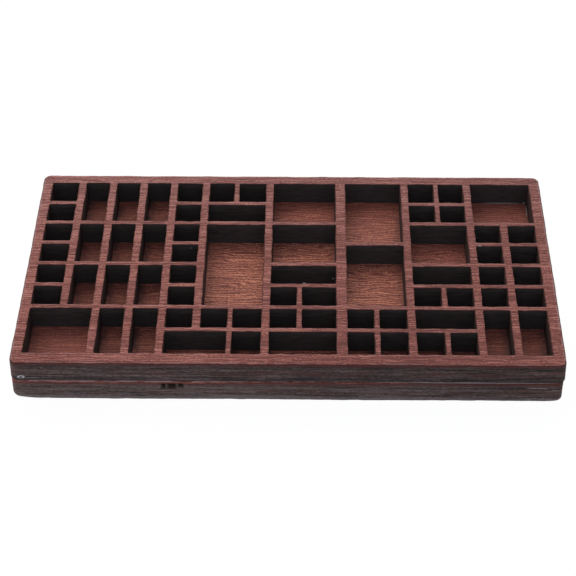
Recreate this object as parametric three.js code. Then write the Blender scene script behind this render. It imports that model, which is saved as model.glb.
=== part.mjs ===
// A specimen display case: a shallow tray of open compartments in stained plywood.
// A sheet pierced by compartments is glued on a solid base sheet, which is their floor.
// The pierced sheet is modelled as its rails, dividers and rungs, which meet face to face.
// Millimetres. X runs along the long side, -Y is the front, +Z is up, and the origin is
// the middle of the underside.

import * as THREE from 'three';

// Sheet thicknesses
const BASE_THICKNESS = 7.8;
const LATTICE_THICKNESS = 8.2;

// Outer rails, measured across their top faces
const LEFT_RAIL = 3.8;
const RIGHT_RAIL = 3.8;
const BACK_RAIL = 4.6;
const FRONT_RAIL = 5.0;

// Radius of the tray's upright outer corners
const CORNER_RADIUS = 2.5;
const CORNER_STEPS = 8;

// Clear widths of the columns of compartments
const EDGE_COLUMN = 9.6;
const NARROW_COLUMN = 8.4;
const STANDARD_COLUMN = 8.9;
const BROAD_COLUMN = 9.2;
const WIDE_COLUMN = 11.5;

// Thicknesses of the walls that run from back to front
const MAIN_WALL = 2.7;
const HEAVY_WALL = 3.6;
const THIN_WALL = 1.8;

// Clear depths of the rows of compartments, and the thickness of the rungs between them
const BACK_ROW = 10.6;
const MIDDLE_ROW = 9.3;
const FRONT_ROW = 10.7;
const RUNG = 1.9;

// Columns from left to right, each with the wall on its right
const COLUMNS = [
  [EDGE_COLUMN, MAIN_WALL],
  [NARROW_COLUMN, MAIN_WALL],
  [NARROW_COLUMN, MAIN_WALL],
  [NARROW_COLUMN, MAIN_WALL],
  [STANDARD_COLUMN, MAIN_WALL],
  [STANDARD_COLUMN, THIN_WALL],
  [EDGE_COLUMN, MAIN_WALL],
  [STANDARD_COLUMN, THIN_WALL],
  [WIDE_COLUMN, HEAVY_WALL],
  [STANDARD_COLUMN, THIN_WALL],
  [BROAD_COLUMN, MAIN_WALL],
  [BROAD_COLUMN, THIN_WALL],
  [STANDARD_COLUMN, MAIN_WALL],
  [STANDARD_COLUMN, MAIN_WALL],
  [EDGE_COLUMN, RIGHT_RAIL],
];

// Rows from back to front, each with the wall in front of it
const ROWS = [
  [BACK_ROW, RUNG],
  [MIDDLE_ROW, RUNG],
  [MIDDLE_ROW, RUNG],
  [MIDDLE_ROW, RUNG],
  [MIDDLE_ROW, RUNG],
  [MIDDLE_ROW, RUNG],
  [MIDDLE_ROW, RUNG],
  [FRONT_ROW, FRONT_RAIL],
];

// The plan seen from above, back row first, with a letter for each place. Neighbouring places
// with the same letter are one compartment, and a wall stands wherever two letters differ.
const PLAN = [
  'abcdefghhiijkll',
  'mbcdnoohhiipqll',
  'arsteuuvviiwwxy',
  'mrstnuuvvzzwwpq',
  'abcdeuuhhzzjjxy',
  'mbcdnuufgzzpqkl',
  'rrstefghijkwwxy',
  'rrstoomvvpqjkxy',
];

// A wall along more rows than this runs on past the rungs, which stop at it. A shorter one is
// a partition that the rungs run past.
const PARTITION_ROWS = 2;

const LATTICE_COLOUR = 0x82554e;
const BASE_COLOUR = 0x74503f;
const ROUGHNESS = 0.7;

// Overall plan, added up from the rails, columns and rows
const addUp = (pairs) => pairs.reduce((sum, [clear, wall]) => sum + clear + wall, 0);
const width = LEFT_RAIL + addUp(COLUMNS);
const depth = BACK_RAIL + addUp(ROWS);
const corner = Math.min(CORNER_RADIUS, BACK_RAIL, FRONT_RAIL);

// Left and right faces of every wall line: the left rail is line 0, the right rail the last
const wallLines = [{ left: -width / 2, right: -width / 2 + LEFT_RAIL }];
for (const [clear, wall] of COLUMNS) {
  const left = wallLines.at(-1).right + clear;
  wallLines.push({ left, right: left + wall });
}

// Back and front faces of every row line: the back rail is line 0, the front rail the last
const rowLines = [{ back: depth / 2, front: depth / 2 - BACK_RAIL }];
for (const [clear, wall] of ROWS) {
  const back = rowLines.at(-1).front - clear;
  rowLines.push({ back, front: back - wall });
}
const insideBack = rowLines[0].front;
const insideFront = rowLines.at(-1).back;

// Walls from back to front, read from the plan: on which wall line, from which row to which
const standingWalls = [];
for (let line = 1; line < COLUMNS.length; line += 1) {
  const stands = (row) => PLAN[row][line - 1] !== PLAN[row][line];
  for (let row = 0; row < ROWS.length; row += 1) {
    if (stands(row) && row > 0 && stands(row - 1)) {
      standingWalls.at(-1).last = row;
    } else if (stands(row)) {
      standingWalls.push({ line, first: row, last: row });
    }
  }
}
const rowsAlong = (wall) => wall.last - wall.first + 1;
const isDivider = (wall) => rowsAlong(wall) === ROWS.length;
const dividers = standingWalls.filter(isDivider);
const partitions = standingWalls.filter((wall) => !isDivider(wall));

// Rungs, read from the plan: on which row line, between which wall lines. A long wall that
// passes through a row line parts the rung there.
const rungs = [];
for (let line = 1; line < ROWS.length; line += 1) {
  const stands = (column) => PLAN[line - 1][column] !== PLAN[line][column];
  const passes = (wall) => rowsAlong(wall) > PARTITION_ROWS && wall.first < line && wall.last >= line;
  const isParted = (at) => standingWalls.some((wall) => wall.line === at && passes(wall));
  for (let column = 0; column < COLUMNS.length; column += 1) {
    if (stands(column) && column > 0 && stands(column - 1) && !isParted(column)) {
      rungs.at(-1).to = column + 1;
    } else if (stands(column)) {
      rungs.push({ line, from: column, to: column + 1, behind: [], ahead: [] });
    }
  }
}

// Each partition is of one piece with a rung: the one that it crosses, or else the one at its
// front end, or at its back end where the front end is on the rail
const rungAt = (line, wall) => rungs.find((rung) => rung.line === line && rung.from < wall && rung.to > wall);
for (const wall of partitions) {
  const { line, first, last } = wall;
  const isCrossed = rowsAlong(wall) === PARTITION_ROWS;
  const crossed = isCrossed ? rungAt(last, line) : undefined;
  const frontEnd = rungAt(last + 1, line);
  if (crossed) {
    crossed.behind.push({ line, until: first });
    crossed.ahead.push({ line, until: last + 1 });
  } else if (frontEnd) {
    frontEnd.behind.push({ line, until: first });
  } else {
    rungAt(first, line).ahead.push({ line, until: last + 1 });
  }
}

// One piece of sheet: a plan outline given the sheet's thickness
function cutPiece(name, outline, thickness, colour) {
  const geometry = new THREE.ExtrudeGeometry(outline, {
    depth: thickness,
    bevelEnabled: false,
    curveSegments: CORNER_STEPS,
  });
  const material = new THREE.MeshStandardMaterial({ color: colour, roughness: ROUGHNESS, metalness: 0 });
  const mesh = new THREE.Mesh(geometry, material);
  mesh.name = name;
  return mesh;
}

const outlineOf = (points) => new THREE.Shape(points.map(([x, y]) => new THREE.Vector2(x, y)));

// A rectangle in plan
function rectangle({ left, right }, front, back) {
  return outlineOf([[left, front], [right, front], [right, back], [left, back]]);
}

// A rectangle across the whole tray, whose front corners, back corners or both are rounded
function acrossTray(front, back, { roundFront, roundBack }) {
  const side = width / 2;
  const frontRadius = roundFront ? corner : 0;
  const backRadius = roundBack ? corner : 0;
  const quarter = Math.PI / 2;
  const shape = new THREE.Shape();
  shape.moveTo(-side + frontRadius, front);
  shape.lineTo(side - frontRadius, front);
  if (roundFront) {
    shape.absarc(side - corner, front + corner, corner, -quarter, 0);
  }
  shape.lineTo(side, back - backRadius);
  if (roundBack) {
    shape.absarc(side - corner, back - corner, corner, 0, quarter);
  }
  shape.lineTo(-side + backRadius, back);
  if (roundBack) {
    shape.absarc(-side + corner, back - corner, corner, quarter, 2 * quarter);
  }
  shape.lineTo(-side, front + frontRadius);
  if (roundFront) {
    shape.absarc(-side + corner, front + corner, corner, 2 * quarter, 3 * quarter);
  }
  return shape;
}

// A rung in plan, with the partitions that are of one piece with it
function rungOutline({ line, from, to, behind, ahead }) {
  const rung = rowLines[line];
  const left = wallLines[from].right;
  const right = wallLines[to].left;
  const points = [[left, rung.front]];
  for (const partition of ahead.toSorted((a, b) => a.line - b.line)) {
    const wall = wallLines[partition.line];
    const end = rowLines[partition.until].back;
    points.push([wall.left, rung.front], [wall.left, end], [wall.right, end], [wall.right, rung.front]);
  }
  points.push([right, rung.front], [right, rung.back]);
  for (const partition of behind.toSorted((a, b) => b.line - a.line)) {
    const wall = wallLines[partition.line];
    const end = rowLines[partition.until].front;
    points.push([wall.right, rung.back], [wall.right, end], [wall.left, end], [wall.left, rung.back]);
  }
  points.push([left, rung.back]);
  return outlineOf(points);
}

const tray = new THREE.Group();

// The base sheet, which is the floor of every compartment
const baseOutline = acrossTray(-depth / 2, depth / 2, { roundFront: true, roundBack: true });
tray.add(cutPiece('base_board', baseOutline, BASE_THICKNESS, BASE_COLOUR));

// The pierced sheet stands on the base
const lattice = new THREE.Group();
lattice.position.z = BASE_THICKNESS;
tray.add(lattice);

function addWall(name, outline) {
  lattice.add(cutPiece(name, outline, LATTICE_THICKNESS, LATTICE_COLOUR));
}

// Four outer rails: back and front are full length, left and right stand between them
addWall('back_rail', acrossTray(insideBack, depth / 2, { roundBack: true }));
addWall('front_rail', acrossTray(-depth / 2, insideFront, { roundFront: true }));
addWall('left_rail', rectangle(wallLines[0], insideFront, insideBack));
addWall('right_rail', rectangle(wallLines.at(-1), insideFront, insideBack));

// Main dividers from the back rail to the front rail, which part the tray into bays
dividers.forEach(({ line }, index) => {
  addWall(`divider_${index + 1}`, rectangle(wallLines[line], insideFront, insideBack));
});

// Rungs across the bays, numbered in each bay from the back. The name's last word says how
// many partitions are of one piece with the rung.
const SHAPE_WORDS = ['', '_tee', '_cross', '_comb'];
const rungsInBay = new Map();
for (const rung of rungs) {
  const bay = 1 + dividers.filter(({ line }) => line <= rung.from).length;
  const place = 1 + (rungsInBay.get(bay) ?? 0);
  rungsInBay.set(bay, place);
  const shape = SHAPE_WORDS[rung.behind.length + rung.ahead.length];
  addWall(`bay_${bay}_rung_${place}${shape}`, rungOutline(rung));
}

export default tray;
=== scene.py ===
# A specimen display case of stained plywood: a sheet pierced by compartments, glued on a solid sheet.
# Metres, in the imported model's frame: X along the case, -Y to the front and Z up from the underside.
from math import cos, pi, radians, sin

import bpy
import numpy as np
from mathutils import Matrix, Vector
from mathutils.geometry import delaunay_2d_cdt


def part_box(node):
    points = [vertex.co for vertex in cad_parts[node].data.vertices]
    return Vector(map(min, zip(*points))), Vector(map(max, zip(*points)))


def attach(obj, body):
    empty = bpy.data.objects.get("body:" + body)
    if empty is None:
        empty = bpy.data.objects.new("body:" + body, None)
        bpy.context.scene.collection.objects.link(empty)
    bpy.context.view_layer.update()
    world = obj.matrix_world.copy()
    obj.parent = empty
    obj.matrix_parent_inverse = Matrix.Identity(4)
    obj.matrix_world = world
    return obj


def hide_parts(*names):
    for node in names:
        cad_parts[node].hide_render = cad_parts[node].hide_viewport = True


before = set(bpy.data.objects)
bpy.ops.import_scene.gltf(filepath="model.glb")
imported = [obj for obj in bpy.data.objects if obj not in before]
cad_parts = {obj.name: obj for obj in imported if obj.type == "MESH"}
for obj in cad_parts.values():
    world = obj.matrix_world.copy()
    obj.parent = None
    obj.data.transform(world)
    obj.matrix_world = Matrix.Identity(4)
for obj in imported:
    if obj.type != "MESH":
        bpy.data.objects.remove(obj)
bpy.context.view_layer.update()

# Base board
# A solid sheet of five-ply, whose upper face veneer is stained red-brown and is the floor of every
# compartment. A laser cut it out and charred its edges, and the arrises were then rubbed round by hand.
MM = 0.001


def node_points(name):
    """The corner points of a piece of the frame, one row each."""
    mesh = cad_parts[name].data
    points = np.empty(3 * len(mesh.vertices), np.float32)
    mesh.vertices.foreach_get("co", points)
    return points.reshape(-1, 3).astype(float)


def rounded_outline(low, high, radius, step, turn_steps):
    """A closed path round a rectangle with rounded corners, anticlockwise, and the way out at each point.
    Each side is a straight run in even steps, then a quarter turn: middle + radius * (cos a, sin a)."""
    inner_low = low + radius
    inner_high = high - radius
    run_lengths = inner_high - inner_low
    middles = np.array([
        [inner_high[0], inner_low[1]],
        [inner_high[0], inner_high[1]],
        [inner_low[0], inner_high[1]],
        [inner_low[0], inner_low[1]],
    ])
    points = []
    ways_out = []
    for side, middle in enumerate(middles):
        facing = (side - 1) * pi / 2
        way_out = np.array([cos(facing), sin(facing)])
        along = np.array([-way_out[1], way_out[0]])
        run = run_lengths[side % 2]
        before_turn = np.linspace(-run, 0, max(1, round(run / step)), endpoint=False)
        points.append(middle + radius * way_out + before_turn[:, None] * along)
        ways_out.append(np.tile(way_out, (len(before_turn), 1)))
        angles = facing + np.linspace(0, pi / 2, turn_steps, endpoint=False)
        turn = np.stack([np.cos(angles), np.sin(angles)], axis=1)
        points.append(middle + radius * turn)
        ways_out.append(turn)
    return np.concatenate(points), np.concatenate(ways_out)


def past_arris(inset, height, land, arris):
    """How far along a profile each row lies past the middle of its upper arris, in millimetres: the steps
    from row to row added up, from the start of a flat land that a quarter round of radius arris follows."""
    lengths = np.hypot(np.diff(inset), np.diff(height))
    along = np.concatenate([[0], np.cumsum(lengths)])
    return (along - land - arris * pi / 4) / MM


LAND = 0.4 * MM
ROUND_STEPS = 5


def sheet_edge(top, bottom, top_arris, bottom_arris, side_rows):
    """Inset and height down the edge of a sheet, which rows are worn (1) or face (0), and how far each lies
    past the middle of the upper arris. The profile is a flat land, a quarter round of inset r(1 - sin a) and
    drop r(1 - cos a), the upright side, another quarter round and a flat land, which is face again."""
    angles = np.linspace(0, pi / 2, ROUND_STEPS + 1)
    side = np.linspace(top - top_arris, bottom + bottom_arris, side_rows + 2)[1:-1]
    inset = np.concatenate([
        [top_arris + LAND],
        top_arris * (1 - np.sin(angles)),
        np.zeros(side_rows),
        bottom_arris * (1 - np.cos(angles)),
        [bottom_arris + LAND],
    ])
    height = np.concatenate([
        [top],
        top - top_arris * (1 - np.cos(angles)),
        side,
        bottom + bottom_arris * (1 - np.sin(angles)),
        [bottom],
    ])
    worn = np.ones(len(inset))
    worn[[0, -1]] = 0
    past_edge = past_arris(inset, height, LAND, top_arris)
    past_edge[-1] = past_edge[0]
    return inset, height, worn, past_edge


def carry_profile(outline, ways_out, inset, height):
    """A profile carried round an outline: outline(s) - inset(s, t) * way_out(s), at height(s, t)."""
    plan = outline[:, None, :] - inset[..., None] * ways_out[:, None, :]
    return np.concatenate([plan, height[..., None]], axis=2)


def wander(points, lengths, sway, seed):
    """Unevenness of a worked edge at points in space: sine waves of several lengths in random directions,
    added up with longer waves stronger, so that its usual size is sway."""
    random = np.random.default_rng(seed)
    ways = random.normal(size=(len(lengths), points.shape[-1]))
    ways /= np.linalg.norm(ways, axis=1, keepdims=True)
    phases = random.uniform(0, 2 * pi, len(lengths))
    strengths = np.sqrt(lengths)
    strengths *= sway * np.sqrt(2) / np.linalg.norm(strengths)
    waves = np.sin(2 * pi * points @ (ways / lengths[:, None]).T + phases)
    return waves @ strengths


PLIES = 5
PLY_RELIEF = 0.04 * MM
EDGE_SWAY = 0.05 * MM
EDGE_WAVES = np.array([26.0, 13.0, 7.0, 4.1, 2.3]) * MM
FIBRE_SWAY = 0.025 * MM
FIBRE_WAVES = np.array([9.0, 5.0, 3.0, 1.7]) * MM
FIBRE_FLATNESS = 9.0


def edge_relief(outline, profile_points, in_sheet, sway_seed, fibre_seed):
    """How far a cut edge lies behind its plain profile: the sway of the whole outline, a groove from ply to
    ply, PLY_RELIEF * (1 - |sin(PLIES * pi * height in sheet)|), and the flat waves of its fibres."""
    sway = wander(outline, EDGE_WAVES, EDGE_SWAY, sway_seed)
    ply_grooves = PLY_RELIEF * (1 - np.abs(np.sin(PLIES * pi * in_sheet)))
    fibre_waves = wander(profile_points * [1, 1, FIBRE_FLATNESS], FIBRE_WAVES, FIBRE_SWAY, fibre_seed)
    return sway[:, None] + ply_grooves + fibre_waves


def nearness(outline, corner, reach):
    """How near each point of an outline is to a corner: exp(-(distance / reach)^2), from 1 at the corner."""
    distance = np.linalg.norm(outline - corner, axis=1, keepdims=True)
    return np.exp(-(distance / reach) ** 2)


def ring_faces(first, stations, rows):
    """Four-cornered faces from each station of a closed ring to the next, row by row down the profile."""
    station, row = np.meshgrid(np.arange(stations), np.arange(rows - 1), indexing="ij")
    here = first + station * rows + row
    beside = first + (station + 1) % stations * rows + row
    return np.stack([here, here + 1, beside + 1, beside], axis=-1).reshape(-1, 4)


INSIDE_LOOPS = 1
SAME_SPOT = 1e-6


def flat_face(points, loops):
    """Triangles that fill the flat face inside the first closed loop of points, over any loops within it:
    a Delaunay triangulation that keeps each loop's edges, worked out in millimetres."""
    chosen = np.concatenate(loops)
    starts = np.cumsum([0] + [len(loop) for loop in loops])
    edges = []
    for start, end in zip(starts[:-1], starts[1:]):
        around = np.arange(start, end)
        edges += np.stack([around, np.roll(around, -1)], axis=1).tolist()
    spots = [Vector(spot) for spot in (points[chosen, :2] / MM).tolist()]
    faces, sources = delaunay_2d_cdt(spots, edges, [], INSIDE_LOOPS, SAME_SPOT)[2:4]
    first_source = np.array([spot_numbers[0] for spot_numbers in sources])
    return chosen[first_source[np.array(faces)]]


MARK_NAMES = ["past_edge", "scorch_and_shade", "sooty", "rubbed_and_highlit", "deep_soot_and_shade"]


def mark_rows(past_edge, scorch_and_shade=0.0, sooty=0.0, rubbed_and_highlit=0.0, deep_soot_and_shade=0.0):
    """The marks of every point, one row each: how many millimetres past the upper arris it lies, and how
    much scorch and painted shade, soot, rubbing and painted highlight, and deep soot and painted shade it
    has, from 0 for none."""
    marks = np.broadcast_arrays(past_edge, scorch_and_shade, sooty, rubbed_and_highlit, deep_soot_and_shade)
    return np.stack(marks, axis=-1).reshape(-1, len(MARK_NAMES))


SHARP_ANGLE = radians(40)


def add_piece(name, points, quads, triangles, marks, material, body, replaced):
    """A mesh of points and faces. Its rows of marks, one for each point, become attributes that the material
    reads."""
    mesh = bpy.data.meshes.new(name)
    mesh.from_pydata(points.tolist(), [], quads.tolist() + triangles.tolist())
    mesh.polygons.foreach_set("use_smooth", np.ones(len(mesh.polygons), bool))
    mesh.set_sharp_from_angle(angle=SHARP_ANGLE)
    for mark, values in zip(MARK_NAMES, marks.T):
        attribute = mesh.attributes.new(mark, "FLOAT", "POINT")
        attribute.data.foreach_set("value", values.astype(np.float32))
    mesh.materials.append(material)
    piece = bpy.data.objects.new(name, mesh)
    bpy.context.scene.collection.objects.link(piece)
    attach(piece, body)
    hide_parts(*replaced)


def seen_colour(red, green, blue):
    """A colour as it looks on a screen, 0 to 255, turned into the light values that a shader takes. The
    screen's curve is share / 12.92 where it is dark, and ((share + 0.055) / 1.055) ^ 2.4 elsewhere."""
    share = np.array([red, green, blue]) / 255
    light = np.where(share <= 0.04045, share / 12.92, ((share + 0.055) / 1.055) ** 2.4)
    return (*light.tolist(), 1.0)


def new_material(name):
    """A new material and its node tree, which is empty."""
    material = bpy.data.materials.new(name)
    material.use_nodes = True
    material.node_tree.nodes.clear()
    return material, material.node_tree


def add_node(tree, kind, inputs, **settings):
    """One shader node. An input given as another node's socket is linked, and any other value is set."""
    node = tree.nodes.new("ShaderNode" + kind)
    for name, value in settings.items():
        setattr(node, name, value)
    for key, value in inputs.items():
        if isinstance(value, bpy.types.NodeSocket):
            tree.links.new(value, node.inputs[key])
        else:
            node.inputs[key].default_value = value
    return node


def show_surface(tree, shader):
    """Makes a shader node the surface of its material."""
    add_node(tree, "OutputMaterial", {"Surface": shader.outputs[0]}, is_active_output=True)


def calculate(tree, operation, first, second=0.0):
    """The result of a Math node on one or two values or sockets."""
    return add_node(tree, "Math", {0: first, 1: second}, operation=operation).outputs[0]


def product(tree, first, *factors):
    """A value times one or more factors."""
    result = first
    for factor in factors:
        result = calculate(tree, "MULTIPLY", result, factor)
    return result


def weigh(tree, *parts):
    """The sum of several values, each times its weight."""
    total = 0.0
    for value, weight in parts:
        total = calculate(tree, "ADD", product(tree, value, weight), total)
    return total


def between(tree, share, first, second):
    """A number that goes from first to second as share goes from 0 to 1."""
    return calculate(tree, "ADD", product(tree, share, second - first), first)


def blend_colours(tree, share, first, second, blend_type="MIX"):
    """The first colour, going over to the second, or to the two multiplied, as share goes from 0 to 1.
    A Mix node has its two colours at inputs 6 and 7 and the blended one at output 2."""
    mixed = add_node(tree, "Mix", {0: share, 6: first, 7: second}, data_type="RGBA", blend_type=blend_type)
    return mixed.outputs[2]


def spread(tree, value, low, high):
    """A value stretched so that low becomes 0 and high becomes 1, easing into both ends, which are held."""
    ranged = add_node(tree, "MapRange", {0: value, 1: low, 2: high}, interpolation_type="SMOOTHSTEP")
    return ranged.outputs[0]


def tone_row(tree, value, stops, tones):
    """A colour that goes evenly from tone to tone as value goes from stop to stop."""
    row = add_node(tree, "ValToRGB", {0: value})
    elements = row.color_ramp.elements
    elements.remove(elements[1])
    elements[0].position = stops[0]
    elements[0].color = tones[0]
    for stop, tone in zip(stops[1:], tones[1:]):
        elements.new(stop).color = tone
    return row.outputs[0]


def object_place(tree):
    """The place of a point in the object's own coordinates."""
    return add_node(tree, "TexCoord", {}).outputs["Object"]


def near_place(tree, place, reach, strength=1.0):
    """Strength at a place, easing down to 0 one reach away from it. Reach has a length for each axis."""
    offset = add_node(tree, "VectorMath", {0: object_place(tree), 1: place}, operation="SUBTRACT")
    in_reaches = add_node(tree, "VectorMath", {0: offset.outputs[0], 1: reach}, operation="DIVIDE")
    away = add_node(tree, "VectorMath", {0: in_reaches.outputs[0]}, operation="LENGTH").outputs["Value"]
    return product(tree, spread(tree, away, 1.0, 0.0), strength)


def streaks(tree, size, shift, detail=2.0, distortion=0.0):
    """Noise from 0 to 1, drawn out into streaks of a size along X, Y and Z. A shift gives another pattern."""
    stretched = add_node(tree, "Mapping", {
        "Vector": object_place(tree),
        "Location": (shift, 2 * shift, 3 * shift),
        "Scale": tuple(1 / length for length in size),
    })
    noise = add_node(tree, "TexNoise", {
        "Vector": stretched.outputs[0],
        "Scale": 1.0,
        "Detail": detail,
        "Distortion": distortion,
    })
    return noise.outputs[0]


BANDS_PER_UNIT = 10 / pi
WAVER_DETAIL = 1.0
WAVER_SCALE = 1.3


def fine_fibres(tree, length, pitch, waver, shift):
    """Fibres that run along X at a pitch along Y: a sine wave from 0 to 1 that is put out of step by up to
    about waver / 2, unevenly over a few pitches and lengths. A wave texture has BANDS_PER_UNIT waves to a
    unit."""
    in_pitches = add_node(tree, "Mapping", {
        "Vector": object_place(tree),
        "Location": (shift, 2 * shift, 0),
        "Scale": (1 / length, 1 / pitch, 1.0),
    })
    wave = add_node(tree, "TexWave", {
        "Vector": in_pitches.outputs[0],
        "Scale": 1 / BANDS_PER_UNIT,
        "Distortion": waver,
        "Detail": WAVER_DETAIL,
        "Detail Scale": WAVER_SCALE,
    }, wave_type="BANDS", bands_direction="Y", wave_profile="SIN")
    return wave.outputs[1]


# Sizes of the veneer's grain along X, Y and Z, and shifts that keep its patterns unlike each other
BAND_SIZE = (60 * MM, 6 * MM, 6 * MM)
GRAIN_LINE_SIZE = (14 * MM, 0.45 * MM, 3 * MM)
GRAIN_LINE_SHIFT = 5
FIBRE_SHIFT = 9
PORE_SIZE = (0.8 * MM, 0.32 * MM, 2 * MM)
PORE_SHIFT = 13
MIDDLE_TONE = 0.5
VENEER_STOPS = (0.34, 0.43, 0.50, 0.58, 0.67)


def stained_veneer(tree, *, tones, weights, fibre, curl, figure_and_light, contrasts, lift, shift):
    """Colour and surface height of a stained face veneer: broad bands, grain lines along X that wander by
    curl, fine fibres and short pores, in that order in weights. Fibre is the fibres' length, pitch and
    waver, and the five tones go from pore to fleck. A share from 0 to 1 raises the contrast from the first
    of contrasts to the second and makes the veneer paler by lift: on the base this share is the veneer's
    figure, and on the pierced board it is mostly painted light."""
    bands = streaks(tree, BAND_SIZE, shift)
    lines = streaks(tree, GRAIN_LINE_SIZE, shift + GRAIN_LINE_SHIFT, distortion=curl)
    fibres = fine_fibres(tree, *fibre, shift + FIBRE_SHIFT)
    pores = streaks(tree, PORE_SIZE, shift + PORE_SHIFT, detail=0.0)
    grain = weigh(tree, *zip((bands, lines, fibres, pores), weights))
    from_mean = calculate(tree, "SUBTRACT", grain, sum(weights) / 2)
    strength = product(tree, from_mean, between(tree, figure_and_light, *contrasts))
    tone = weigh(tree, (strength, 1.0), (figure_and_light, lift), (1.0, MIDDLE_TONE))
    return tone_row(tree, tone, VENEER_STOPS, tones), grain


# Spans of the middle plies and the foot are shares of the thickness, from its middle and from the bottom
CHAR_LINE_SIZE = (15 * MM, 15 * MM, 0.5 * MM)
CHAR_LINE_WEIGHT = 0.64
MOTTLE_SIZE = (1.2 * MM, 1.2 * MM, 0.45 * MM)
MOTTLE_SHIFT = 4
MOTTLE_WEIGHT = 0.36
CHAR_CONTRAST = 1.15
CHAR_TONE = 0.05
CHAR_STOPS = (0.465, 0.625, 0.785, 0.945)
MIDDLE_PLIES_SPAN = (0.28, 0.10)
MIDDLE_PLIES_LIFT = 0.045
FOOT_SPAN = (0.34, 0.04)
BARE_LINE_SIZE = (12 * MM, 12 * MM, 0.55 * MM)
BARE_LINE_SHIFT = 7
BARE_SPAN = (0.44, 0.62)
BARE_SHARE = 0.6


def charred_edge(tree, *, tones, bare_wood, bottom, thickness, foot_wear, lift, shift):
    """Colour and surface height of a laser-cut plywood edge: grey char with long streaks and short mottles.
    It is paler on the middle plies, where bare wood shows through it, and at a worn foot. The four tones go
    from dark char to ash, and lift makes the char paler, as painted light."""
    up = add_node(tree, "SeparateXYZ", {0: object_place(tree)}).outputs[2]
    in_sheet = calculate(tree, "DIVIDE", calculate(tree, "SUBTRACT", up, bottom), thickness)
    from_middle = calculate(tree, "ABSOLUTE", calculate(tree, "SUBTRACT", in_sheet, 0.5))
    middle_plies = spread(tree, from_middle, *MIDDLE_PLIES_SPAN)
    foot = spread(tree, in_sheet, *FOOT_SPAN)
    lines = streaks(tree, CHAR_LINE_SIZE, shift)
    mottles = streaks(tree, MOTTLE_SIZE, shift + MOTTLE_SHIFT, detail=1.0)
    grain = weigh(tree, (lines, CHAR_LINE_WEIGHT), (mottles, MOTTLE_WEIGHT))
    tone = weigh(
        tree,
        (grain, CHAR_CONTRAST),
        (1.0, CHAR_TONE),
        (middle_plies, MIDDLE_PLIES_LIFT),
        (foot, foot_wear),
        (lift, 1.0),
    )
    char = tone_row(tree, tone, CHAR_STOPS, tones)
    bare_lines = streaks(tree, BARE_LINE_SIZE, shift + BARE_LINE_SHIFT)
    bared = product(tree, spread(tree, bare_lines, *BARE_SPAN), middle_plies, BARE_SHARE)
    return blend_colours(tree, bared, char, bare_wood), grain


SOOT_TONES = (seen_colour(55, 49, 46), seen_colour(72, 63, 59))
SOOT_LINE_SIZE = (5 * MM, 5 * MM, 0.7 * MM)
SOOT_STOPS = (0.35, 0.65)
ASH = seen_colour(86, 86, 85)
ASH_SPAN = (2.0, 8.5)
ASH_SHARE = 0.25
DEEP_SOOT_AND_SHADE = seen_colour(44, 31, 29)


def sooty_wall(tree, past_edge, deep_soot_and_shade, shift):
    """Colour of a compartment's wall, burnt black by the laser all over: the faint lines of its plies, ash
    towards its foot, and darker where the deep mark is set: deeper soot, which on the side walls and in the
    base's voids is also painted shade."""
    lines = streaks(tree, SOOT_LINE_SIZE, shift)
    soot = tone_row(tree, lines, SOOT_STOPS, SOOT_TONES)
    ashen = product(tree, spread(tree, past_edge, *ASH_SPAN), ASH_SHARE)
    return blend_colours(tree, deep_soot_and_shade, blend_colours(tree, ashen, soot, ASH), DEEP_SOOT_AND_SHADE)


# Burn and stain spans are in millimetres past the burn line; scorch-and-shade and broken spans are levels of
# a noise
RAGGED_SIZE = (2.5 * MM, 2.5 * MM, 1.5 * MM)
RAGGEDNESS = 0.6
BURN_SPAN = (0.25, 0.50)
SCORCH_AND_SHADE_SPAN = (0.3, 0.6)
BROKEN_SIZE = (4.5 * MM, 1.5 * MM, 1.5 * MM)
BROKEN_SHIFT = 3
BROKEN_DETAIL = 3.0
BROKEN_SPAN = (0.36, 0.60)
RIM_FADE_OUTSIDE = 0.15
RIM_FADE_INSIDE = 0.05
EDGE_STAIN_SPAN = (2.2, 0.4)
WALL_STAIN_SPAN = (1.3, 0.3)
WALL_STAIN_SHARE = 0.6
BUMP_STRENGTH = 0.5
BUMP_HEIGHT = 0.08 * MM
VENEER_ROUGHNESS = 0.58
CHAR_ROUGHNESS = 0.80
MATT_SPECULAR = 0.12


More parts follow.
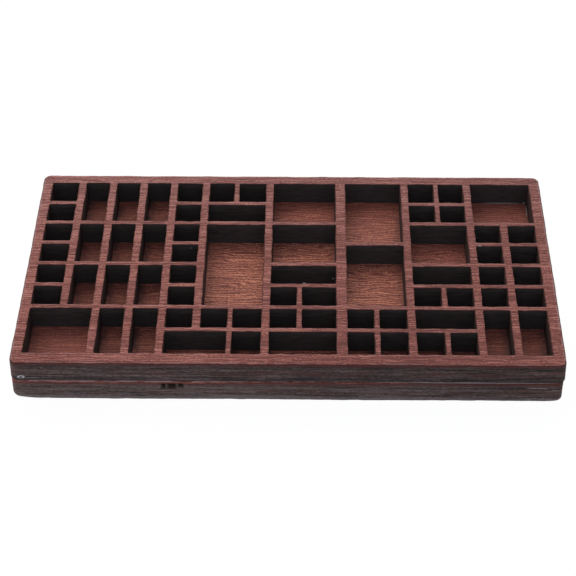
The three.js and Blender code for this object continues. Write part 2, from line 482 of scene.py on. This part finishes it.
def plywood(name, *, face, edge, wall_shift, stain, stain_share, rim_tone, rim_span, burn_line, shift):
    """A material in parts, set out by the piece's marks. At a ragged burn line, in millimetres past the
    arris, the face veneer goes over to the charred edge, or to the sooty wall inside a cut, each stained red
    next to the face. The scorch mark turns it there too, and on the floors it carries painted shade. Rim_span
    is where the arris is rubbed pale, in broken stretches; on the pierced board that is partly a painted
    highlight."""
    material, tree = new_material(name)
    past_edge, scorch_and_shade, sooty, rubbed_and_highlit, deep_soot_and_shade = (
        add_node(tree, "Attribute", {}, attribute_name=mark).outputs["Fac"]
        for mark in MARK_NAMES
    )
    ragged = streaks(tree, RAGGED_SIZE, shift)
    past_burn = weigh(tree, (past_edge, 1.0), (ragged, RAGGEDNESS), (1.0, -burn_line))
    burnt = spread(tree, past_burn, *BURN_SPAN)
    scorched_and_shaded = product(tree, scorch_and_shade, spread(tree, ragged, *SCORCH_AND_SHADE_SPAN))

    face_colour, face_height = face(tree)
    broken = streaks(tree, BROKEN_SIZE, shift + BROKEN_SHIFT, detail=BROKEN_DETAIL)
    rim_start, rim_end = rim_span
    rim = product(
        tree,
        spread(tree, past_edge, rim_start - RIM_FADE_OUTSIDE, rim_start + RIM_FADE_INSIDE),
        spread(tree, past_edge, rim_end + RIM_FADE_OUTSIDE, rim_end - RIM_FADE_INSIDE),
        rubbed_and_highlit,
        spread(tree, broken, *BROKEN_SPAN),
    )
    face_colour = blend_colours(tree, rim, face_colour, rim_tone)

    edge_colour, edge_height = edge(tree)
    edge_stain = product(tree, spread(tree, past_burn, *EDGE_STAIN_SPAN), stain_share)
    edge_colour = blend_colours(tree, edge_stain, edge_colour, stain)
    wall_stain = product(tree, spread(tree, past_burn, *WALL_STAIN_SPAN), WALL_STAIN_SHARE)
    wall_colour = blend_colours(tree, wall_stain, sooty_wall(tree, past_edge, deep_soot_and_shade, wall_shift), stain)
    burnt_colour = blend_colours(tree, sooty, edge_colour, wall_colour)

    burnt_and_shaded_share = calculate(tree, "MAXIMUM", burnt, scorched_and_shaded)
    height = weigh(tree, (face_height, 1.0), (edge_height, burnt))
    bump = add_node(tree, "Bump", {"Strength": BUMP_STRENGTH, "Distance": BUMP_HEIGHT, "Height": height})
    shader = add_node(tree, "BsdfPrincipled", {
        "Base Color": blend_colours(tree, burnt_and_shaded_share, face_colour, burnt_colour),
        "Roughness": between(tree, burnt, VENEER_ROUGHNESS, CHAR_ROUGHNESS),
        "Specular IOR Level": MATT_SPECULAR,
        "Normal": bump.outputs[0],
    })
    show_surface(tree, shader)
    return material


base_low, base_high = (np.array(corner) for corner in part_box("base_board"))
base_points = node_points("base_board")
on_right_side = np.isclose(base_points[:, 0], base_high[0])
corner_radius = base_high[1] - base_points[on_right_side, 1].max()
floor_height = base_high[2]

FLOOR_TONES = (
    seen_colour(91, 49, 44),
    seen_colour(110, 61, 53),
    seen_colour(131, 74, 63),
    seen_colour(168, 98, 79),
    seen_colour(212, 138, 109),
)
FLOOR_WEIGHTS = (0.05, 0.20, 0.13, 0.26)
FLOOR_FIBRE = (4.0 * MM, 1.15 * MM, 10.0)
FLOOR_CURL = 0.4
FLOOR_CONTRASTS = (0.68, 1.60)
FIGURE_PLACE = (4 * MM, -6 * MM, 0)
FIGURE_REACH = (85 * MM, 70 * MM, 1.0)
FIGURE_LIFT = 0.05
BASE_EDGE_TONES = (
    seen_colour(47, 39, 37),
    seen_colour(75, 63, 59),
    seen_colour(109, 94, 89),
    seen_colour(138, 121, 116),
)
BASE_BARE_WOOD = seen_colour(103, 69, 59)
BASE_FOOT_WEAR = 0.29
# Painted light: the charred edges of both boards are paler towards the left end, as if lit more from there.
CHAR_LIGHT_PLACE = (-45 * MM, 0, 0)
CHAR_LIGHT_REACH = (130 * MM, 300 * MM, 1.0)
PAINTED_CHAR_LIGHT = 0.105
BASE_STAIN = seen_colour(101, 59, 54)
BASE_STAIN_SHARE = 0.75
LIP_TONE = seen_colour(208, 167, 158)
LIP_SPAN = (-0.65, -0.05)
BASE_BURN_LINE = 0.30


def floor_veneer(tree):
    """Colour and surface height of the base's veneer, which has a pale, lively figure near its middle."""
    return stained_veneer(
        tree,
        tones=FLOOR_TONES,
        weights=FLOOR_WEIGHTS,
        fibre=FLOOR_FIBRE,
        curl=FLOOR_CURL,
        figure_and_light=near_place(tree, FIGURE_PLACE, FIGURE_REACH),
        contrasts=FLOOR_CONTRASTS,
        lift=FIGURE_LIFT,
        shift=17.0,
    )


def base_edge(tree):
    """Colour and surface height of the base's cut edge, whose foot is worn pale."""
    return charred_edge(
        tree,
        tones=BASE_EDGE_TONES,
        bare_wood=BASE_BARE_WOOD,
        bottom=base_low[2],
        thickness=floor_height - base_low[2],
        foot_wear=BASE_FOOT_WEAR,
        lift=near_place(tree, CHAR_LIGHT_PLACE, CHAR_LIGHT_REACH, PAINTED_CHAR_LIGHT),
        shift=31.0,
    )


base_ply = plywood(
    "stained_base_ply",
    face=floor_veneer,
    edge=base_edge,
    wall_shift=47.0,
    stain=BASE_STAIN,
    stain_share=BASE_STAIN_SHARE,
    rim_tone=LIP_TONE,
    rim_span=LIP_SPAN,
    burn_line=BASE_BURN_LINE,
    shift=41.0,
)

# The edge of the board, from its flat upper face round to its underside. Its foot is worn rounder at the
# front corners. Its upper arris is a pale lip at the left of the front, and is darker everywhere else.
BASE_ARRIS = 0.8 * MM
FOOT_ARRIS = 0.4 * MM
WORN_FOOT_ARRIS = 2.0 * MM
WORN_FOOT_REACH = 4.5 * MM
RIGHT_FOOT_WEAR = 0.35
BASE_STEP = 0.3 * MM
BASE_TURN_STEPS = 10
BASE_SIDE_ROWS = 17
BASE_SWAY_SEED = 2
BASE_FIBRE_SEED = 3
LIP_DARK_START = -30 * MM
LIP_DARK_LENGTH = 90 * MM
LIP_TURN = 1.6
LIP_BURN = 0.5
LIP_DULLING = 0.75

outline, ways_out = rounded_outline(base_low[:2], base_high[:2], corner_radius, BASE_STEP, BASE_TURN_STEPS)
inset, height, worn, past_edge = sheet_edge(
    floor_height, base_low[2], BASE_ARRIS, FOOT_ARRIS, BASE_SIDE_ROWS
)
worn_inset, worn_height = sheet_edge(
    floor_height, base_low[2], BASE_ARRIS, WORN_FOOT_ARRIS, BASE_SIDE_ROWS
)[:2]
left_wear = nearness(outline, base_low[:2], WORN_FOOT_REACH)
right_wear = RIGHT_FOOT_WEAR * nearness(outline, [base_high[0], base_low[1]], WORN_FOOT_REACH)
foot_wear = left_wear + right_wear
inset = inset + foot_wear * (worn_inset - inset)
height = height + foot_wear * (worn_height - height)
to_right = np.clip((outline[:, :1] - LIP_DARK_START) / LIP_DARK_LENGTH, 0, 1)
off_front = 1 + np.clip(LIP_TURN * ways_out[:, 1:], -1, 0)
darkened = np.maximum(to_right, off_front)
past_edge = past_edge + LIP_BURN * worn * darkened
rubbed_and_highlit = worn * (1 - LIP_DULLING * darkened)
profile_points = carry_profile(outline, ways_out, inset, height)
in_sheet = (height - base_low[2]) / (floor_height - base_low[2])
inset = inset + worn * edge_relief(outline, profile_points, in_sheet, BASE_SWAY_SEED, BASE_FIBRE_SEED)

# Where the core ply of the base has gaps, three small hollows show in its front edge. Each is as deep as
# VOID_DEPTH / (1 + (across^4 + upwards^4)^2), in half sizes from its middle. They take the deep soot colour
# of the walls, as painted shade in the recess.
VOID_PLACES = np.array([-40.3, -37.6, -34.6]) * MM
VOID_HALF_WIDTHS = np.array([0.65, 1.5, 0.8]) * MM
VOID_HALF_HEIGHTS = np.array([1.1, 1.2, 0.85]) * MM
VOID_HEIGHTS = np.array([5.7, 5.5, 5.85]) * MM
VOID_DEPTH = 1.6 * MM
FRONT_FACING = -0.99

on_front = (ways_out[:, 1] < FRONT_FACING)[:, None, None]
across = (outline[:, :1, None] - VOID_PLACES) / VOID_HALF_WIDTHS
upwards = (height[..., None] - VOID_HEIGHTS) / VOID_HALF_HEIGHTS
hollow = np.where(on_front, 1 / (1 + (across ** 4 + upwards ** 4) ** 2), 0).max(axis=2)
inset = inset + hollow * VOID_DEPTH

stations, rows = inset.shape
point_sets = [carry_profile(outline, ways_out, inset, height).reshape(-1, 3)]
mark_sets = [mark_rows(past_edge, sooty=hollow, rubbed_and_highlit=rubbed_and_highlit, deep_soot_and_shade=hollow)]
floor_loops = [np.arange(stations) * rows]
underside_loop = floor_loops[0] + rows - 1
first = stations * rows

lattice_nodes = sorted(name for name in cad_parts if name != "base_board")
lattice_low = np.min([np.array(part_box(name)[0]) for name in lattice_nodes], axis=0)
lattice_high = np.max([np.array(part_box(name)[1]) for name in lattice_nodes], axis=0)
lattice_top = lattice_high[2]
MICROMETRE_DIGITS = 6


def node_triangles(name):
    """The triangles of a piece of the frame, as three corner points each."""
    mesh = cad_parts[name].data
    mesh.calc_loop_triangles()
    corners = np.empty(3 * len(mesh.loop_triangles), np.int32)
    mesh.loop_triangles.foreach_get("vertices", corners)
    return node_points(name)[corners].reshape(-1, 3, 3)


def find_compartments():
    """Low and high corners in plan of every compartment. The lines of all wall faces part the plan into
    places. A place under none of the frame's top triangles is open, and open places that touch are one
    compartment."""
    walls = [name for name in lattice_nodes if name not in ("front_rail", "back_rail")]
    wall_points = np.concatenate([node_points(name) for name in walls])
    lines = [np.unique(np.round(wall_points[:, axis], MICROMETRE_DIGITS)) for axis in (0, 1)]
    middles = [(line[1:] + line[:-1]) / 2 for line in lines]
    places = np.stack(np.meshgrid(*middles, indexing="ij"), axis=-1)[:, :, None, :]
    triangles = np.concatenate([node_triangles(name) for name in lattice_nodes])
    tops = triangles[np.isclose(triangles[..., 2], lattice_top).all(axis=1)][..., :2]
    after = np.roll(tops, -1, axis=1)
    sides = []
    for corner in range(3):
        edge = after[:, corner] - tops[:, corner]
        reach = places - tops[:, corner]
        sides.append(edge[:, 0] * reach[..., 1] - edge[:, 1] * reach[..., 0])
    covered = (np.array(sides) >= 0).all(axis=0) | (np.array(sides) <= 0).all(axis=0)
    is_open = ~covered.any(axis=2)
    closed_edge = np.pad(is_open, 1)
    starts = is_open & ~closed_edge[:-2, 1:-1] & ~closed_edge[1:-1, :-2]
    found = []
    for column, row in np.argwhere(starts):
        columns_wide = np.argmin(closed_edge[column + 1:, row + 1])
        rows_deep = np.argmin(closed_edge[column + 1, row + 1:])
        low = [lines[0][column], lines[1][row]]
        high = [lines[0][column + columns_wide], lines[1][row + rows_deep]]
        found.append((np.array(low), np.array(high)))
    return found


# Char dust with painted shade along the foot of every wall: the floor darkens most at the outer side of
# narrow compartments and at the ends of short ones, where the walls shade it. Two loops on each floor mark
# where it lies and where it ends.
DUST_AND_SHADE_SHARE = 1.5
END_DUST_AND_SHADE = 0.36
INNER_DUST_AND_SHADE = 0.3
OUTWARD_SPAN = 60 * MM
DUST_AND_SHADE_REACH = 3.2 * MM
DUSTY_SHADED_WIDTH = 9.6 * MM
DUSTY_SHADED_DEPTH = 10.7 * MM
WALL_COVER = 0.4 * MM
DUST_AND_SHADE_CORNER = 0.3 * MM
DUST_AND_SHADE_STEP = 3 * MM
DUST_AND_SHADE_TURN_STEPS = 2
FAR_FROM_EDGE = -9.0

compartments = find_compartments()
for low, high in compartments:
    width, depth = high - low
    full_dust_and_shade = DUST_AND_SHADE_SHARE * min(1, DUSTY_SHADED_WIDTH / width)
    end_dust_and_shade = END_DUST_AND_SHADE * min(1, DUSTY_SHADED_DEPTH / depth) ** 2
    outward = np.clip((low[0] + high[0]) / OUTWARD_SPAN, -1, 1)
    for outset, dust_and_shade in ((WALL_COVER, full_dust_and_shade), (-DUST_AND_SHADE_REACH, 0.0)):
        loop, to_wall = rounded_outline(low - outset, high + outset, DUST_AND_SHADE_CORNER, DUST_AND_SHADE_STEP, DUST_AND_SHADE_TURN_STEPS)
        side_dust_and_shade = (1 + INNER_DUST_AND_SHADE) / 2 + (1 - INNER_DUST_AND_SHADE) / 2 * outward * np.sign(to_wall[:, 0])
        dust_and_shade_share = end_dust_and_shade + (side_dust_and_shade - end_dust_and_shade) * np.abs(to_wall[:, 0])
        point_sets.append(np.column_stack([loop, np.full(len(loop), floor_height)]))
        # The dust and painted shade go in as the floor's scorch mark, which turns it towards the wall colour.
        mark_sets.append(mark_rows(FAR_FROM_EDGE, scorch_and_shade=dust_and_shade * dust_and_shade_share, sooty=1.0))
        floor_loops.append(first + np.arange(len(loop)))
        first += len(loop)
points = np.concatenate(point_sets)
add_piece(
    "base_board_visual",
    points,
    ring_faces(0, stations, rows),
    np.concatenate([flat_face(points, floor_loops), flat_face(points, [underside_loop])[:, ::-1]]),
    np.concatenate(mark_sets),
    base_ply,
    "root",
    ["base_board"],
)

# Pierced board
# A lattice cut from a five-ply sheet of the same stain and glued on the base. A laser cut out all its
# compartments and left their walls charred black; the veneer's grain runs on over rails, dividers and rungs.
VENEER_TONES = (
    seen_colour(77, 37, 34),
    seen_colour(97, 48, 43),
    seen_colour(115, 61, 54),
    seen_colour(136, 80, 72),
    seen_colour(166, 109, 97),
)
VENEER_WEIGHTS = (0.10, 0.34, 0.09, 0.20)
VENEER_FIBRE = (3.0 * MM, 1.0 * MM, 10.0)
VENEER_CURL = 0.05
VENEER_CONTRASTS = (1.66, 1.76)
# Painted light: the veneer is paler, and a little livelier, towards the front left end, as if lit more there.
PAINTED_LIGHT_PLACE = (-90 * MM, 20 * MM, 0)
PAINTED_LIGHT_REACH = (190 * MM, 120 * MM, 1.0)
PAINTED_LIGHT_LIFT = 0.05
# Painted sheen: the veneer greys towards the back edge, as the softbox behind would make it shine.
BACK_SHEEN_PLACE = (0, 60 * MM, 0)
BACK_SHEEN_REACH = (1.0, 70 * MM, 1.0)
BACK_SHEEN_TINT = (0.93, 1.05, 1.14, 1.0)
LATTICE_EDGE_TONES = (
    seen_colour(36, 31, 29),
    seen_colour(59, 50, 48),
    seen_colour(91, 76, 73),
    seen_colour(121, 104, 100),
)
LATTICE_BARE_WOOD = seen_colour(94, 58, 52)
LATTICE_STAIN = seen_colour(90, 48, 43)
LATTICE_STAIN_SHARE = 0.8
# Wear and painted highlight: the pierced board's arrises are rubbed pale, most where they face the softbox.
RUB_AND_HIGHLIGHT_TONE = seen_colour(150, 116, 113)
RUB_AND_HIGHLIGHT_SPAN = (-0.80, -0.10)
LATTICE_BURN_LINE = -0.10


def lattice_veneer(tree):
    """Colour and surface height of the pierced board's veneer: paler towards its front left as painted light,
    and greyer towards its back edge as a painted sheen.
    """
    colour, grain = stained_veneer(
        tree,
        tones=VENEER_TONES,
        weights=VENEER_WEIGHTS,
        fibre=VENEER_FIBRE,
        curl=VENEER_CURL,
        figure_and_light=near_place(tree, PAINTED_LIGHT_PLACE, PAINTED_LIGHT_REACH),
        contrasts=VENEER_CONTRASTS,
        lift=PAINTED_LIGHT_LIFT,
        shift=3.0,
    )
    # The painted sheen, which greys the veneer towards its back edge.
    back_sheen = near_place(tree, BACK_SHEEN_PLACE, BACK_SHEEN_REACH)
    return blend_colours(tree, back_sheen, colour, BACK_SHEEN_TINT, "MULTIPLY"), grain


def lattice_edge(tree):
    """Colour and surface height of the pierced board's outer edge, whose foot isn't worn."""
    return charred_edge(
        tree,
        tones=LATTICE_EDGE_TONES,
        bare_wood=LATTICE_BARE_WOOD,
        bottom=floor_height,
        thickness=lattice_top - floor_height,
        foot_wear=0.0,
        lift=near_place(tree, CHAR_LIGHT_PLACE, CHAR_LIGHT_REACH, PAINTED_CHAR_LIGHT),
        shift=57.0,
    )


lattice_ply = plywood(
    "stained_lattice_ply",
    face=lattice_veneer,
    edge=lattice_edge,
    wall_shift=71.0,
    stain=LATTICE_STAIN,
    stain_share=LATTICE_STAIN_SHARE,
    rim_tone=RUB_AND_HIGHLIGHT_TONE,
    rim_span=RUB_AND_HIGHLIGHT_SPAN,
    burn_line=LATTICE_BURN_LINE,
    shift=63.0,
)

# The outer edge of the board, from its flat upper face round to its underside. The board was glued on a
# little to the right, and its ends lean out towards their foot.
LATTICE_ARRIS = 0.45 * MM
LATTICE_FOOT_ARRIS = 1.1 * MM
LATTICE_STEP = 0.6 * MM
LATTICE_TURN_STEPS = 8
LATTICE_SIDE_ROWS = 11
LATTICE_SWAY_SEED = 4
LATTICE_FIBRE_SEED = 5
BOARD_SLIP = 0.2 * MM
END_LEAN = 0.25 * MM
END_BURN = 0.18
OUTER_RUB_AND_HIGHLIGHT = 0.5
CORNER_CHAR = 0.8
CORNER_CHAR_REACH = 5.0 * MM

outline, ways_out = rounded_outline(
    lattice_low[:2], lattice_high[:2], corner_radius, LATTICE_STEP, LATTICE_TURN_STEPS
)
outline[:, 0] += BOARD_SLIP
inset, height, worn, past_edge = sheet_edge(
    lattice_top, floor_height, LATTICE_ARRIS, LATTICE_FOOT_ARRIS, LATTICE_SIDE_ROWS
)
inset = np.tile(inset, (len(outline), 1))
height = np.tile(height, (len(outline), 1))
profile_points = carry_profile(outline, ways_out, inset, height)
in_sheet = (height - floor_height) / (lattice_top - floor_height)
relief = edge_relief(outline, profile_points, in_sheet, LATTICE_SWAY_SEED, LATTICE_FIBRE_SEED)
lean = END_LEAN * np.abs(ways_out[:, :1]) * (1 - in_sheet)
inset = inset + worn * (relief - lean)
end_grain = np.sqrt(np.abs(ways_out[:, :1]))
past_edge = past_edge + END_BURN * worn * end_grain
scorch_and_shade = worn * CORNER_CHAR * nearness(outline, lattice_low[:2], CORNER_CHAR_REACH)
# The outer arris is rubbed pale with a painted highlight, most at the ends.
rubbed_and_highlit = worn * (OUTER_RUB_AND_HIGHLIGHT + (1 - OUTER_RUB_AND_HIGHLIGHT) * end_grain)

stations, rows = inset.shape
point_sets = [carry_profile(outline, ways_out, inset, height).reshape(-1, 3)]
mark_sets = [mark_rows(past_edge, scorch_and_shade=scorch_and_shade, rubbed_and_highlit=rubbed_and_highlit)]
face_sets = [ring_faces(0, stations, rows)]
top_loops = [np.arange(stations) * rows]
bottom_loops = [top_loops[0] + rows - 1]
first = stations * rows

# Every compartment's wall: a burnt arris at the upper face, then down to the floor, where the beam cut less
# wide. All walls but the left one are burnt a little further up.
CUT_ARRIS = 0.12 * MM
CUT_LAND = 0.4 * MM
CUT_TAPER = 0.25 * MM
CUT_ROUND_STEPS = 3
CUT_ROWS = 3
CUT_CORNER = 0.3 * MM
CUT_STEP = 0.65 * MM
CUT_TURN_STEPS = 3
CUT_SWAY = 0.06 * MM
CUT_WAVES = np.array([12.0, 6.3, 3.7, 2.2, 1.4]) * MM
CUT_SEED = 6
CUT_BURN = 0.15
LEFT_FACING = -0.5
RIGHT_WALL_SCORCH = 0.75
LEFT_WALL_SCORCH = 0.35
RUNG_SCORCH = 0.36
BACK_WALL_RUB_AND_HIGHLIGHT = 0.4
FRONT_WALL_RUB_AND_HIGHLIGHT = 0.9

angles = np.linspace(0, pi / 2, CUT_ROUND_STEPS)
drops = np.linspace(0, 1, CUT_ROWS + 1)[1:]
wall_height = lattice_top - floor_height - CUT_ARRIS
cut_inset = np.concatenate([[CUT_ARRIS + CUT_LAND], CUT_ARRIS * (1 - np.sin(angles)), -CUT_TAPER * drops])
cut_height = lattice_top - np.concatenate([
    [0],
    CUT_ARRIS * (1 - np.cos(angles)),
    CUT_ARRIS + wall_height * drops,
])
cut_worn = np.concatenate([[0], np.ones(CUT_ROUND_STEPS), 1 - drops])
cut_past_edge = past_arris(cut_inset, cut_height, CUT_LAND, CUT_ARRIS)
past_land = np.arange(len(cut_inset)) > 0
for low, high in compartments:
    outline, into_wall = rounded_outline(low, high, CUT_CORNER, CUT_STEP, CUT_TURN_STEPS)
    sway = wander(outline, CUT_WAVES, CUT_SWAY, CUT_SEED)
    inset = -cut_inset - cut_worn * sway[:, None]
    stations, rows = inset.shape
    height = np.tile(cut_height, (stations, 1))
    rightward = into_wall[:, :1]
    backward = into_wall[:, 1:]
    side_scorch = np.where(rightward > 0, RIGHT_WALL_SCORCH, LEFT_WALL_SCORCH) * np.abs(rightward)
    # Rung arrises are rubbed pale with a painted highlight, strongest on their back edges, which face the
    # softbox.
    rub_and_highlight = np.where(backward > 0, BACK_WALL_RUB_AND_HIGHLIGHT, FRONT_WALL_RUB_AND_HIGHLIGHT) * np.abs(backward)
    point_sets.append(carry_profile(outline, into_wall, inset, height).reshape(-1, 3))
    # Side walls and walls facing the back get deep soot; on the side walls it is partly painted shade.
    mark_sets.append(mark_rows(
        cut_past_edge + CUT_BURN * past_land * (rightward > LEFT_FACING),
        scorch_and_shade=past_land * (side_scorch + RUNG_SCORCH * np.abs(backward)),
        sooty=1.0,
        rubbed_and_highlit=past_land * rub_and_highlight,
        deep_soot_and_shade=np.maximum(np.abs(rightward), -backward),
    ))
    face_sets.append(ring_faces(first, stations, rows)[:, ::-1])
    top_loops.append(first + np.arange(stations) * rows)
    bottom_loops.append(top_loops[-1] + rows - 1)
    first += stations * rows

points = np.concatenate(point_sets)
lows = np.array([low for low, high in compartments])
highs = np.array([high for low, high in compartments])


def solid_face(loops, margin):
    """The flat face between the outer edge and the compartments, which are each wider by margin."""
    triangles = flat_face(points, loops)
    middles = points[triangles, :2].mean(axis=1)[:, None, :]
    inside = (middles > lows - margin) & (middles < highs + margin)
    return triangles[~inside.all(axis=2).any(axis=1)]


upper_face = solid_face(top_loops, CUT_ARRIS + CUT_LAND)
underside = solid_face(bottom_loops, -CUT_TAPER)[:, ::-1]
add_piece(
    "pierced_board_visual",
    points,
    np.concatenate(face_sets),
    np.concatenate([upper_face, underside]),
    np.concatenate(mark_sets),
    lattice_ply,
    "root",
    lattice_nodes,
)

# Glue
# Clear glue squeezed out between the boards: a bead at the left of the front joint, whose glint is painted
# as a pale rim round it, and a tail. Thin lines of it show at the right of the front and in the back right
# compartment, and specks of it in a few other places. The tail and the front lines are pale with a painted
# sheen; the rest is dry glue.
DROP_ROWS = 17
DROP_STATIONS = 16
POLE_GAP = 0.05
NO_MARKS = np.empty((0, 0))

# Each drop is given by its middle and its half sizes, in millimetres
BEAD = [((-86.40, -50.2, 9.85), (0.70, 0.33, 0.36))]
# A painted glint: the pale rim round the bead.
BEAD_GLINT = [((-86.40, -50.0, 9.82), (1.25, 0.28, 0.70))]
# The tail and the front lines are real glue, pale with a painted sheen.
BEAD_TAIL = [((-82.80, -49.95, 9.42), (2.60, 0.14, 0.11))]
FRONT_LINES = [
    ((58.0, -49.62, 8.12), (30.0, 0.30, 0.24)),
    ((81.4, -50.0, 6.05), (3.4, 0.12, 0.13)),
    ((87.2, -49.95, 5.10), (1.3, 0.12, 0.12)),
]
BACK_RIGHT_LINES = [
    ((77.0, 45.05, 7.90), (7.0, 0.20, 0.20)),
    ((85.2, 44.60, 8.30), (0.45, 0.40, 0.50)),
    ((85.8, 40.50, 7.95), (0.20, 3.50, 0.20)),
]
SPECKS = [
    ((5.4, -9.90, 15.95), (0.70, 0.20, 0.15)),
    ((66.3, 10.60, 15.95), (0.60, 0.25, 0.15)),
    ((15.5, -0.85, 10.40), (0.60, 0.20, 0.40)),
    ((-34.2, 10.45, 14.40), (0.35, 0.10, 0.22)),
]


def glue_drops(name, drops, material):
    """Drops of glue, each an ellipsoid: middle + (a cos t, b sin t cos s, c sin t sin s)."""
    tilt = np.linspace(POLE_GAP, pi - POLE_GAP, DROP_ROWS)
    turn = np.linspace(0, 2 * pi, DROP_STATIONS, endpoint=False)
    turn_grid, tilt_grid = np.meshgrid(turn, tilt, indexing="ij")
    ball = np.stack([
        np.cos(tilt_grid),
        np.sin(tilt_grid) * np.cos(turn_grid),
        np.sin(tilt_grid) * np.sin(turn_grid),
    ], axis=-1).reshape(-1, 3)
    cap = np.arange(1, DROP_STATIONS - 1)
    first_cap = np.stack([np.zeros_like(cap), cap, cap + 1], axis=1) * DROP_ROWS
    last_cap = first_cap[:, ::-1] + DROP_ROWS - 1
    point_sets = []
    quad_sets = []
    cap_sets = []
    for number, (middle, half_sizes) in enumerate(drops):
        first = number * len(ball)
        point_sets.append((np.array(middle) + ball * half_sizes) * MM)
        quad_sets.append(ring_faces(first, DROP_STATIONS, DROP_ROWS))
        cap_sets += [first + first_cap, first + last_cap]
    add_piece(
        name,
        np.concatenate(point_sets),
        np.concatenate(quad_sets),
        np.concatenate(cap_sets),
        NO_MARKS,
        material,
        "root",
        [],
    )


def glue(name, colour, roughness):
    """A smooth material of one colour that mirrors the white room at its rim."""
    material, tree = new_material(name)
    shader = add_node(tree, "BsdfPrincipled", {"Base Color": colour, "Roughness": roughness})
    show_surface(tree, shader)
    return material


clear_glue = glue("clear_glue", seen_colour(58, 51, 50), 0.10)
# The bead's glint, painted as a pale rim.
painted_glue_glint = glue("painted_glue_glint", seen_colour(186, 180, 179), 0.30)
# Dry glue, which on the tail and the front lines is a painted sheen.
dry_glue_and_sheen = glue("dry_glue_and_sheen", seen_colour(138, 122, 120), 0.40)
glue_drops("glue_bead_visual", BEAD, clear_glue)
glue_drops("painted_glue_glint_visual", BEAD_GLINT, painted_glue_glint)
glue_drops("glue_lines_visual", BEAD_TAIL + FRONT_LINES + BACK_RIGHT_LINES + SPECKS, dry_glue_and_sheen)

# White ground
# A sheet of white paper under the case, which keeps a faint shadow of it and otherwise looks pure white.
# The room round it is white to the eye, and lights the case with a soft bluish light.
GROUND_HALF_SIZE = 3.0
PAPER_WHITE = (0.9, 0.9, 0.9, 1.0)
PURE_WHITE = (1.0, 1.0, 1.0, 1.0)
PAPER_GLOW = 1.02
WHITE_SHARE = 0.95
ROOM_LIGHT = (0.425, 0.475, 0.57, 1.0)


def seen_directly(tree):
    """1 for what the camera, a reflection or a clear material sees, and 0 for light that falls on things."""
    ray = add_node(tree, "LightPath", {}).outputs
    reflected = calculate(tree, "MAXIMUM", ray["Is Glossy Ray"], ray["Is Transmission Ray"])
    return calculate(tree, "MAXIMUM", ray["Is Camera Ray"], reflected)


paper, paper_tree = new_material("white_paper")
diffuse = add_node(paper_tree, "BsdfDiffuse", {"Color": PAPER_WHITE})
glow = add_node(paper_tree, "Emission", {"Color": PURE_WHITE, "Strength": PAPER_GLOW})
whitened = product(paper_tree, seen_directly(paper_tree), WHITE_SHARE)
paper_mix = add_node(paper_tree, "MixShader", {0: whitened, 1: diffuse.outputs[0], 2: glow.outputs[0]})
show_surface(paper_tree, paper_mix)

ground_side = np.array([-GROUND_HALF_SIZE, GROUND_HALF_SIZE])
ground_x, ground_y = np.meshgrid(ground_side, ground_side)
ground_points = np.stack([ground_x, ground_y, np.zeros_like(ground_x)], axis=-1).reshape(-1, 3)
ground_mesh = bpy.data.meshes.new("ground")
ground_mesh.from_pydata(ground_points.tolist(), [], [(0, 1, 3, 2)])
ground_mesh.materials.append(paper)
ground = bpy.data.objects.new("ground", ground_mesh)
bpy.context.scene.collection.objects.link(ground)

world = bpy.data.worlds.new("white_room")
bpy.context.scene.world = world
world.use_nodes = True
world_tree = world.node_tree
world_tree.nodes.clear()
room_colour = blend_colours(world_tree, seen_directly(world_tree), ROOM_LIGHT, PURE_WHITE)
room = add_node(world_tree, "Background", {"Color": room_colour, "Strength": 1.0})
add_node(world_tree, "OutputWorld", {"Surface": room.outputs[0]})

# Lights
# A broad softbox behind the case and above it, as its shaded inner walls show; the room gives the rest.
SOFTBOX_PLACE = Vector((-0.245, 0.59, 0.50))
SOFTBOX_WIDTH = 3.0
SOFTBOX_HEIGHT = 0.7
SOFTBOX_POWER = 15.9
SOFTBOX_COLOUR = (1.065, 0.99, 0.89)

softbox = bpy.data.lights.new("softbox", "AREA")
softbox.shape = "RECTANGLE"
softbox.size = SOFTBOX_WIDTH
softbox.size_y = SOFTBOX_HEIGHT
softbox.energy = SOFTBOX_POWER
softbox.color = SOFTBOX_COLOUR
softbox_holder = bpy.data.objects.new("softbox", softbox)
softbox_holder.location = SOFTBOX_PLACE
softbox_holder.rotation_euler = SOFTBOX_PLACE.to_track_quat("Z", "Y").to_euler()
bpy.context.scene.collection.objects.link(softbox_holder)

# Camera
# A long lens in front of the case, about 41 degrees above the table, aimed a little below its upper face.
AZIMUTH = radians(0.966)
ELEVATION = radians(40.864)
ROLL = radians(-0.300)
DISTANCE = 600.4 * MM
AIM_RIGHT = -0.259 * MM
AIM_UP = -8.074 * MM
LENS = 109.25
SENSOR_WIDTH = 36.0

backwards = Vector((sin(AZIMUTH) * cos(ELEVATION), -cos(AZIMUTH) * cos(ELEVATION), sin(ELEVATION)))
level = Vector((cos(AZIMUTH), sin(AZIMUTH), 0))
steep = backwards.cross(level)
right = cos(ROLL) * level + sin(ROLL) * steep
upright = cos(ROLL) * steep - sin(ROLL) * level
eye = Vector((0, 0, lattice_top)) + AIM_RIGHT * right + AIM_UP * upright + DISTANCE * backwards
lens = bpy.data.cameras.new("camera")
lens.lens = LENS
lens.sensor_width = SENSOR_WIDTH
camera = bpy.data.objects.new("camera", lens)
axes = Matrix((right, upright, backwards)).transposed()
camera.matrix_world = Matrix.Translation(eye) @ axes.to_4x4()
bpy.context.scene.collection.objects.link(camera)
bpy.context.scene.camera = camera
bpy.context.scene.view_settings.view_transform = "Standard"
